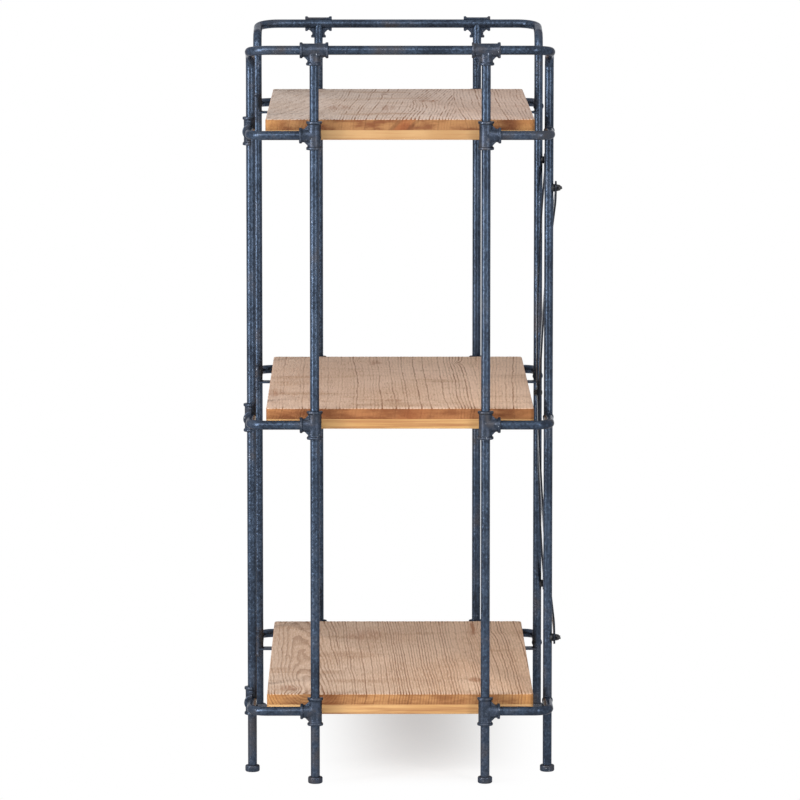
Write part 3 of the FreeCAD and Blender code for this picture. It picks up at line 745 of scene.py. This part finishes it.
# Each board's rings: their pitch, how strongly their lines show in each plank, and how broken and
# uneven they are. Then its planks: the seams between them, where their piths lie across and how deep,
# and the lean of their grain. Then the two colours of the top, and the tints of its left and right side,
# which are partly a greyer plank tone and partly painted shade on the left and painted light on the
# right, set against the lamp on the left. Then the two colours of the edge, and how strongly the rings
# and the golden ends show there. Then a branch cut through at the front edge: its place across, half
# width, strength and crispness. Last the knots, as place and width, and the resin on the top, as place,
# half width, half length and strength.
GRAIN = {
    "low": {
        "seed": 1, "pitch": 0.0040, "lines": (0.65, 0.7, 0.95), "broken": 0.15, "uneven": 0.8,
        "seams": (-0.088, 0.105), "piths": (-0.138, -0.30, -0.27), "depths": (0.030, 0.05, 0.04),
        "leans": (0.03, 0.015, 0.02),
        "top": ((0.70, 0.49, 0.358), (0.61, 0.395, 0.268)),
        "plank_tone_and_painted_light": ((0.885, 0.94, 0.985), (1.07, 1.065, 1.03)),
        "edge": ((0.39, 0.197, 0.079), (0.232, 0.096, 0.0355)), "edge_rings": 0.6, "golden": 0.6,
        "branch": (-0.095, 0.024, 0.4, 0.2),
        "knots": ((-0.150, -0.285, 0.010), (0.128, 0.225, 0.013)),
        "resin": ((0.112, 0.25, 0.010, 0.09, 0.95), (0.107, -0.206, 0.012, 0.022, 0.8),
                  (-0.156, -0.268, 0.024, 0.027, 0.6), (-0.05, 0.195, 0.035, 0.07, 0.4)),
    },
    "mid": {
        "seed": 2, "pitch": 0.0046, "lines": (0.3, 0.9, 0.95), "broken": 0.4, "uneven": 1.8,
        "seams": (-0.075, 0.115), "piths": (-0.33, -0.26, 0.36), "depths": (0.05, 0.04, 0.04),
        "leans": (0.0, 0.01, -0.02),
        "top": ((0.75, 0.54, 0.42), (0.66, 0.445, 0.32)),
        "plank_tone_and_painted_light": ((0.875, 0.88, 0.88), (1.02, 1.03, 1.01)),
        "edge": ((0.287, 0.119, 0.046), (0.176, 0.061, 0.022)), "edge_rings": 0.15, "golden": 0.15,
        "branch": (0.02, 0.028, 0.45, 0.2),
        "knots": ((-0.056, 0.26, 0.006), (0.09, 0.24, 0.006)),
        "resin": ((-0.035, 0.236, 0.014, 0.04, 0.5), (-0.007, -0.23, 0.016, 0.024, 0.5),
                  (-0.178, -0.14, 0.016, 0.06, 0.5)),
    },
    "high": {
        "seed": 3, "pitch": 0.0044, "lines": (1.3, 1.15, 1.15), "broken": 0.65, "uneven": 1.2,
        "seams": (-0.09, 0.08), "piths": (-0.40, -0.30, 0.30), "depths": (0.05, 0.04, 0.06),
        "leans": (-0.2, -0.06, 0.02),
        "top": ((0.71, 0.55, 0.455), (0.60, 0.435, 0.34)),
        "plank_tone_and_painted_light": ((0.87, 0.945, 1.015), (1.0, 0.99, 1.01)),
        "edge": ((0.296, 0.147, 0.059), (0.157, 0.055, 0.0215)), "edge_rings": 0.25, "golden": 0.45,
        "branch": (0.006, 0.012, 0.75, 0.6),
        "knots": ((0.035, 0.05, 0.012), (-0.02, 0.20, 0.008)),
        "resin": ((0.042, 0.056, 0.024, 0.026, 0.9), (-0.017, -0.087, 0.016, 0.07, 0.5),
                  (-0.086, -0.08, 0.018, 0.06, 0.45)),
    },
}


def larger(first, second):
    return first.math("MAXIMUM", first, second)


def distance(place, centre, x, y, z):
    """The distance from a centre, with each axis stretched by its own factor."""
    offset = place.node("VectorMath", {"operation": "SUBTRACT"}, {0: place, 1: centre})
    stretched = place.node("VectorMath", {"operation": "MULTIPLY"}, {0: offset, 1: (x, y, z)})
    return place.node("VectorMath", {"operation": "LENGTH"}, {0: stretched}, out="Value")


def knot_fields(here, top, knots, sway):
    """How far the rings bulge round the knots, and where the dark hearts of the knots are."""
    bulges = 0.0
    hearts = 0.0
    for x, y, wide in knots:
        near = distance(here, (x, y, top), 1.0, 0.4, 0.0)
        bulges = near.math("EXPONENT", near * (-1.0 / wide)) + bulges
        hearts = larger(eased(near + (sway - 0.5) * 0.008, 0.6 * wide, 0.15 * wide), hearts)
    return bulges, hearts


def resin_field(here, top, patches, ragged):
    """Where resin has darkened the top."""
    dark = 0.0
    for x, y, wide, long, share in patches:
        near = distance(here, (x, y, top), 1 / wide, 1 / long, 0.0)
        dark = larger(share * eased(near + 1.2 * (ragged - 0.5), 1.1, 0.4), dark)
    return dark


def board_pine(level, top, grain):
    """Growth rings about a pith beside or under each plank, cut by the board's faces as a saw cuts them."""
    material, field = new_material(f"brushed_pine_{level}")
    here = own_place(field)
    shift = (1.7 * grain["seed"], 0.9 * grain["seed"], 0.0)
    place = field.node("VectorMath", {"operation": "ADD"}, {0: here, 1: shift})
    x, y, z = (along(here, axis) for axis in "XYZ")
    past = [field.math("GREATER_THAN", x, seam) for seam in grain["seams"]]

    def by_plank(name):
        first, second, third = grain[name]
        return first + (second - first) * past[0] + (third - second) * past[1]

    # The late wood of each year's ring, and the lines that it leaves on the top.
    drift = streaks(place, 6.0, 1.2, 0.0)
    sway = streaks(place, 24.0, 6.0, 3.0)
    jagged = streaks(place, 90.0, 30.0, 60.0, 3.0, 0.6)
    aside = x - by_plank("piths") + y * by_plank("leans") + (drift - 0.5) * 0.025
    under = (top - z) + by_plank("depths") + y * 0.03 + (sway - 0.5) * 0.008
    bulges, hearts = knot_fields(here, top, grain["knots"], sway)
    rings = field.math("SQRT", aside * aside + under * under) + 0.012 * bulges + 0.0035 * (sway - 0.5)
    count = rings * (1 / grain["pitch"]) + (jagged - 0.5) * 0.7
    phase = field.math("FRACT", count)
    year = field.node("TexWhiteNoise", {"noise_dimensions": "1D"}, {"W": field.math("FLOOR", count)})
    late = eased(phase, 0.35, 0.85) * eased(phase, 1.0, 0.9) * (0.15 + 0.85 * year ** grain["uneven"])
    gaps = eased(streaks(place, 200.0, 9.0, 0.0), 0.42, 0.6)
    traced = late * (1 - grain["broken"] * gaps)
    opened = eased(abs(y), SHELF_HALF_Y - OPENED_GRAIN, SHELF_HALF_Y)

    # The brushed top.
    groove = eased(streaks(place, 14.0, 2.0, 0.0), 0.4, 0.62)
    fibre = streaks(place, 480.0, 40.0, 520.0, 3.0, 0.65)
    pores = eased(streaks(place, 400.0, 36.0, 420.0), 0.56, 0.74)
    sawing = streaks(place, 16.0, 80.0, 0.0, 3.0, 0.6)
    patch = streaks(place, 10.0, 4.0, 1.0, 3.0)
    stain = eased(streaks(place, 7.0, 15.0, 1.0, 3.0), 0.52, 0.74)
    plain = between(eased(patch, 0.3, 0.7), *grain["top"])
    tone = between(0.6 * stain + 0.35 * eased(sawing, 0.48, 0.7), plain, STAIN_BROWN)
    resin = resin_field(here, top, grain["resin"], jagged) * (1 - 0.7 * gaps)
    soaked = between(resin, tone, RESIN_RED)
    lined = between(traced * (by_plank("lines") + 0.3 * groove + 0.5 * opened), soaked, LINE_BROWN)
    raised = eased(fibre + 0.3 * (sawing - 0.5), 0.42, 0.72)
    streaked = between(raised * (0.6 - 0.5 * traced) * (1 - resin), lined, FIBRE_PALE)
    brushed = between(pores * 0.35, streaked, PORE_BROWN)
    knotted = between(hearts * 0.6, brushed, KNOT_BROWN)
    # The top darkens from right to left: painted shade on the left and painted light on the right, set against the
    # left lamp, with a greyer plank tone on the left.
    side_tone_and_light = between(eased(x, -SHELF_HALF_X, SHELF_HALF_X), *grain["plank_tone_and_painted_light"])
    top_with_painted_light = field.node("Mix", {"data_type": "RGBA", "blend_type": "MULTIPLY"}, {0: 1.0, 6: knotted, 7: side_tone_and_light}, out=2)

    # The sawn edge.
    blotch = streaks(place, 26.0, 26.0, 90.0, 4.0, 0.6)
    sawn = between(eased(blotch + 0.3 * (patch - 0.5), 0.36, 0.62), *grain["edge"])
    golden = eased(abs(x) + 0.03 * (patch - 0.5), 0.155, 0.178)
    ended = between(golden * grain["golden"], sawn, END_GOLD)
    ringed = between(late * grain["edge_rings"], ended, EDGE_RING_BROWN)
    branch_x, wide, share, crisp = grain["branch"]
    slanted = abs(x - z + (top - BOARD_THICK / 2 - branch_x))
    near = slanted + 0.3 * wide * (jagged - 0.5)
    at_front = eased(y, -0.24, -0.29)
    branch = eased(near, wide, crisp * wide) * at_front
    bark = eased(abs(near - wide), 0.45 * wide, 0.1 * wide) * at_front
    reddened = between(branch * share * (0.3 + 0.9 * jagged), ringed, BRANCH_RED)
    edge = between(bark * (1.2 * share * crisp) * (0.4 + jagged), reddened, BARK_BROWN)

    colour = between(eased(top - z + 0.0012 * late * opened, 0.0011, 0.0003), edge, top_with_painted_light)
    roughness = 0.62 + 0.16 * fibre + 0.1 * (1 - late)
    height = 0.4 * fibre - 0.5 * pores - (0.6 + 0.5 * opened) * traced + 0.4 * jagged
    return dress(material, colour, roughness, height, 0.0005, {"Specular IOR Level": 0.2})


def divided(plan):
    """The plan with points added along its edges, closer together where the grain ends than along it."""
    points = []
    for (x, y), (next_x, next_y) in zip(plan, plan[1:] + plan[:1]):
        step = RIM_END_STEP if abs(next_x - x) > abs(next_y - y) else RIM_SIDE_STEP
        parts = max(1, round(math.hypot(next_x - x, next_y - y) / step))
        points += [(x + (next_x - x) * part / parts, y + (next_y - y) * part / parts) for part in range(parts)]
    return points


def worn_rim(plan, seed):
    """How far the upper rim is rounded off at each point: ragged where the grain ends, and even along it."""
    chance = random.Random(seed)
    ragged = [abs(y) > SHELF_HALF_Y - SHELF_CORNER / 4 for x, y in plan]
    return [RIM_EASE + chance.uniform(*(RIM_RAGGED if rough else RIM_EVEN)) for rough in ragged]


board_plan = divided(shelf_plan)
for level, height in LEVELS.items():
    low = height - SHELF_DROP + CLEAT_THICK
    top = low + BOARD_THICK
    rim = worn_rim(board_plan, GRAIN[level]["seed"])
    block = eased_block(board_plan, low, top, rim, BOARD_LOWER_EASE)
    board = joined(f"pine_board_{level}", [(block, AS_MADE)])
    smooth(board, WOOD_SHARP)
    board.data.materials.append(board_pine(level, top, GRAIN[level]))
    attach(board, "frame")
    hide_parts(f"board_{level}")


# Shelf screws: pan-headed steel screws with a cross recess, driven up through
# the tabs into the cleats. The zinc on them has gone dull.

SCREW_X = SHELF_HALF_X - 0.021
SCREW_HEAD = 4.0
SCREW_HEAD_TALL = 2.4
SCREW_HEAD_RIM = 0.3
SCREW_CORE = 2.0
SCREW_STRAIGHT = 15.5
SCREW_POINT = 19.5
RECESS_LONG = 2.1
RECESS_WIDE = 0.35
RECESS_HEIGHTS = (-4.0, -1.1)
ZINC_TONES = ((0.30, 0.29, 0.27), (0.19, 0.185, 0.18))


def dull_zinc():
    material, field = new_material("dull_zinc")
    cloud = noise(own_place(field), 420.0)
    colour = between(eased(cloud, 0.35, 0.65), *ZINC_TONES)
    return dress(material, colour, 0.36 + 0.25 * cloud, cloud, 0.0001, {"Metallic": 0.9})


def shelf_screw():
    turns = [math.radians(angle) for angle in range(15, 90, 15)]
    dome = [(SCREW_HEAD * math.sin(turn), -SCREW_HEAD_TALL * math.cos(turn) ** 0.6) for turn in turns]
    head = [(0, -SCREW_HEAD_TALL), *dome, (SCREW_HEAD, -SCREW_HEAD_RIM), (SCREW_HEAD, 0.0)]
    shank = [(SCREW_CORE, 0.0), (SCREW_CORE, SCREW_STRAIGHT), (0, SCREW_POINT)]
    piece = joined("shelf_screw", [(lathe([*head, *shank], 32), AS_MADE)])
    for x, y in ((RECESS_LONG, RECESS_WIDE), (RECESS_WIDE, RECESS_LONG)):
        carve(piece, slab([(-x, -y), (x, -y), (x, y), (-x, y)], *RECESS_HEIGHTS))
    return finished(piece, sharp=35)


spots = [((side * SCREW_X, end * SIDE_Y, height - SHELF_DROP - TAB_THICK), AS_MADE)
         for height in LEVELS.values() for side in SIDES.values() for end in ENDS.values()]
screws = copies("pan_screws", shelf_screw(), spots, dull_zinc())
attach(screws, "frame")
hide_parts(*[f"shelf_screws_{level}" for level in LEVELS])


# Brace: two strips of flat bar, crossed on one long side and sprung inward.
# They are painted like the tubes, in a blacker tone.

finish_nodes("brace_strip", rubbed_paint("rubbed_dark_paint_with_glints", (0.017, 0.019, 0.024), (0.030, 0.035, 0.047)))


# Studs: threaded steel pins on turned collars, which carry the brace.
# Each collar is welded to a side post, and the steel is oiled dark.

PIN_RADIUS = 2.5
THREAD_DEPTH = 0.4
THREAD_PITCH = 0.8
THREAD_BEVEL = 1.2
COLLAR_PROFILE = ((0, 3.0), (5.5, 3.0), (5.5, 7.6), (5.2, 8.2), (4.8, 8.35), (0, 8.35))
STUD_THREAD = (8.0, 17.85)
STUD_Z = {"low": 0.192, "high": 0.830}
STEEL_TONES = ((0.018, 0.019, 0.022), (0.048, 0.048, 0.05))


def thread(start, stop):
    """A pin's screw thread about Z in millimetres, with a bevelled end."""
    per_turn = 8
    steps = 24
    rows = int((stop - start) / THREAD_PITCH * per_turn)
    form = bmesh.new()
    rings = []
    for row in range(rows + 1):
        z = start + (stop - start) * row / rows
        ring = []
        for step in range(steps):
            turn = (z / THREAD_PITCH - step / steps) % 1.0
            groove = THREAD_DEPTH * (1 - abs(2 * turn - 1))
            reach = min(PIN_RADIUS - groove, PIN_RADIUS - THREAD_DEPTH + (stop - z) * THREAD_BEVEL)
            angle = 2 * math.pi * step / steps
            ring.append(form.verts.new((reach * math.cos(angle), reach * math.sin(angle), z)))
        rings.append(ring)
    sides(form, rings)
    caps(form, rings)
    return outward(form)


def dark_steel():
    material, field = new_material("oiled_dark_steel")
    cloud = noise(own_place(field), 300.0, 3.0, 0.6)
    colour = between(eased(cloud, 0.35, 0.7), *STEEL_TONES)
    return dress(material, colour, 0.34 + 0.22 * cloud, cloud, 0.0002, {"Metallic": 0.55})


oiled_steel = dark_steel()


def brace_stud():
    collar = lathe(COLLAR_PROFILE, 40)
    return finished(joined("brace_stud", [(collar, AS_MADE), (thread(*STUD_THREAD), AS_MADE)]), sharp=45)


spots = [((SIDE_X, end * SIDE_Y, z), ALONG_X) for end in ENDS.values() for z in STUD_Z.values()]
studs = copies("threaded_studs", brace_stud(), spots, oiled_steel)
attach(studs, "frame")
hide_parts("brace_studs")


# Wing nuts: small castings with two upswept ears, threaded on to the studs.
# Each turns by hand and clamps one end of a brace strip.

NUT_BASE_X = 0.22005
NUT_BORE = 2.58
HUB_PROFILE = ((0, 0), (4.4, 0), (4.8, 0.5), (4.6, 2.0), (3.9, 4.6), (3.5, 5.2), (0, 5.2))
EAR_OUTLINE = ((1.5, 0.9), (4.5, 1.0), (8.2, 2.2), (9.6, 3.9), (9.8, 5.8), (9.2, 7.2), (8.0, 7.5), (6.6, 6.7),
               (5.0, 4.9), (1.5, 4.2))
EAR_HALF = 1.25
LEVEL_EARS = UPRIGHT @ ALONG_X


def wing_nut():
    ears = [(slab([(way * x, z) for x, z in EAR_OUTLINE], -EAR_HALF, EAR_HALF), UPRIGHT) for way in (-1, 1)]
    piece = joined("wing_nut", [(lathe(HUB_PROFILE), AS_MADE), *ears])
    cast(piece, grain=0.22, rounds=6)
    carve(piece, rod(NUT_BORE, -5, 20))
    thin(piece, share=0.2)
    return finished(piece, sharp=50)


for end_name, end in ENDS.items():
    for stud_name, z in STUD_Z.items():
        nut = wing_nut()
        nut.name = f"cast_wing_nut_{end_name}_{stud_name}"
        nut.data.transform(Matrix.Translation((NUT_BASE_X, end * SIDE_Y, z)) @ LEVEL_EARS)
        nut.data.materials.append(oiled_steel)
        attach(nut, f"wing_nut_{end_name}_{stud_name}")
        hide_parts(f"wing_nut_{end_name}_{stud_name}")


# Cross bolt: a domed bolt and a bevelled hexagon nut hold the strips together
# where they cross. Both are of the same dark steel as the studs.

CROSS_X = 0.2031
CROSS_Z = 0.511
STRIPS_HALF = 2.5
DOME_RADIUS = 5.3
DOME_TALL = 3.0
SHANK_END = -2.4
BOLT_THREAD = (2.0, 7.7)
NUT_FLATS = 8.0
NUT_OUTER = -6.5
BEVEL_WIDE = 4.7
BEVEL_NARROW = 3.9
BEVEL_TALL = 0.5


def cross_bolt():
    turns = [math.radians(angle) for angle in range(0, 90, 15)]
    dome = [(DOME_RADIUS * math.cos(turn), STRIPS_HALF + DOME_TALL * math.sin(turn)) for turn in turns]
    shank = [(0, SHANK_END), (PIN_RADIUS, SHANK_END), (PIN_RADIUS, STRIPS_HALF)]
    bolt = lathe([*shank, *dome, (0, STRIPS_HALF + DOME_TALL)])
    threaded = (thread(*BOLT_THREAD), Matrix.Rotation(math.pi, 4, "X"))
    return finished(joined("domed_bolt", [(bolt, AS_MADE), threaded]), sharp=45)


def hexagon_nut():
    corner = NUT_FLATS / math.sqrt(3)
    turns = [math.radians(60 * step) for step in range(6)]
    plan = [(corner * math.cos(turn), corner * math.sin(turn)) for turn in turns]
    piece = joined("hexagon_nut", [(slab(plan, NUT_OUTER, -STRIPS_HALF), AS_MADE)])
    bevel = lathe([(0, NUT_OUTER), (BEVEL_NARROW, NUT_OUTER), (BEVEL_WIDE, NUT_OUTER + BEVEL_TALL),
                   (BEVEL_WIDE, -STRIPS_HALF - BEVEL_TALL), (BEVEL_NARROW, -STRIPS_HALF), (0, -STRIPS_HALF)])
    carve(piece, bevel, operation="INTERSECT")
    return finished(piece, sharp=25)


for make, node in ((cross_bolt, "cross_bolt"), (hexagon_nut, "cross_nut")):
    piece = make()
    piece.data.transform(Matrix.Translation((CROSS_X, 0.0, CROSS_Z)) @ ALONG_X)
    piece.data.materials.append(oiled_steel)
    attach(piece, "frame")
    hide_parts(node)


# Floor, light and camera: a white sweep under broad soft light, as in a
# studio. A share of plain white keeps the floor pale, and less of it under
# the unit lets its shadow show.

FLOOR_HALF = 14.0
FLOOR_GREY = (0.86, 0.86, 0.86, 1)
WHITE = (1, 1, 1, 1)
SHADOW_CENTRE = (0.03, 0.3, 0.0)
SHADOW_WHITE = 0.48
ROOM_LEVEL = 0.4


def background_rays(field):
    """1 for the rays that show the background: straight to it, off a shiny surface or through a clear one."""
    seen, mirrored, through = (field.node("LightPath", out=f"Is {kind} Ray")
                               for kind in ("Camera", "Glossy", "Transmission"))
    return larger(larger(seen, mirrored), through)


def ground():
    mesh = bpy.data.meshes.new("floor")
    corners = [(x * FLOOR_HALF, y * FLOOR_HALF, 0) for x, y in ((-1, -1), (1, -1), (1, 1), (-1, 1))]
    mesh.from_pydata(corners, [], [(0, 1, 2, 3)])
    floor = add_object("floor", mesh)
    material, field = new_material("white_floor")
    tree = material.node_tree
    shader = tree.nodes["Principled BSDF"]
    shader.inputs["Base Color"].default_value = FLOOR_GREY
    shader.inputs["Roughness"].default_value = 0.9
    shader.inputs["Specular IOR Level"].default_value = 0.0
    place = own_place(field)
    beside = eased(distance(place, SHADOW_CENTRE, 5.2, 0.8, 0.0), 0.0, 1.0)
    back = along(place, "Y")
    clear = larger(beside, larger(eased(back, -0.2, -0.38), eased(back, 0.45, 1.0)))
    share = (SHADOW_WHITE + (1 - SHADOW_WHITE) * clear) * background_rays(field)
    glow = field.node("Emission", {}, {"Color": WHITE, "Strength": 1.0})
    mixed = field.node("MixShader", {}, {0: share, 1: Field(tree, shader.outputs[0]), 2: glow})
    tree.links.new(mixed.socket, tree.nodes["Material Output"].inputs["Surface"])
    mesh.materials.append(material)


def white_world():
    world = bpy.data.worlds.new("white_room")
    bpy.context.scene.world = world
    world.use_nodes = True
    tree = world.node_tree
    back = tree.nodes["Background"]
    back.inputs["Color"].default_value = WHITE
    strength = ROOM_LEVEL + (1 - ROOM_LEVEL) * background_rays(Field(tree))
    tree.links.new(strength.socket, back.inputs["Strength"])


def soft_light(name, place, aim, width, height, watts):
    lamp = bpy.data.lights.new(name, "AREA")
    lamp.shape = "RECTANGLE"
    lamp.size = width
    lamp.size_y = height
    lamp.energy = watts
    holder = add_object(name, lamp)
    holder.location = place
    holder.rotation_euler = (Vector(aim) - Vector(place)).to_track_quat("-Z", "Y").to_euler()


def photo_camera():
    lens = bpy.data.cameras.new("camera")
    lens.sensor_width = 36.0
    lens.lens = 254.23
    lens.clip_end = 100.0
    holder = add_object("camera", lens)
    holder.location = (-0.0416, -8.1481, 1.4858)
    holder.rotation_euler = (math.pi / 2 - 0.1204, 0.0, -0.0053)
    bpy.context.scene.camera = holder


ground()
white_world()
soft_light("tall_left", (-2.84, -2.2, 1.3), (0.0, 0.0, 0.7), 0.9, 2.6, 104.0)
soft_light("tall_right", (1.8, -3.12, 1.3), (0.0, 0.0, 0.7), 0.7, 2.6, 44.0)
soft_light("front_high", (-3.8, -8.15, 5.6), (0.0, 0.0, 0.5), 8.0, 6.0, 690.0)
photo_camera()
bpy.context.scene.view_settings.view_transform = "Standard"
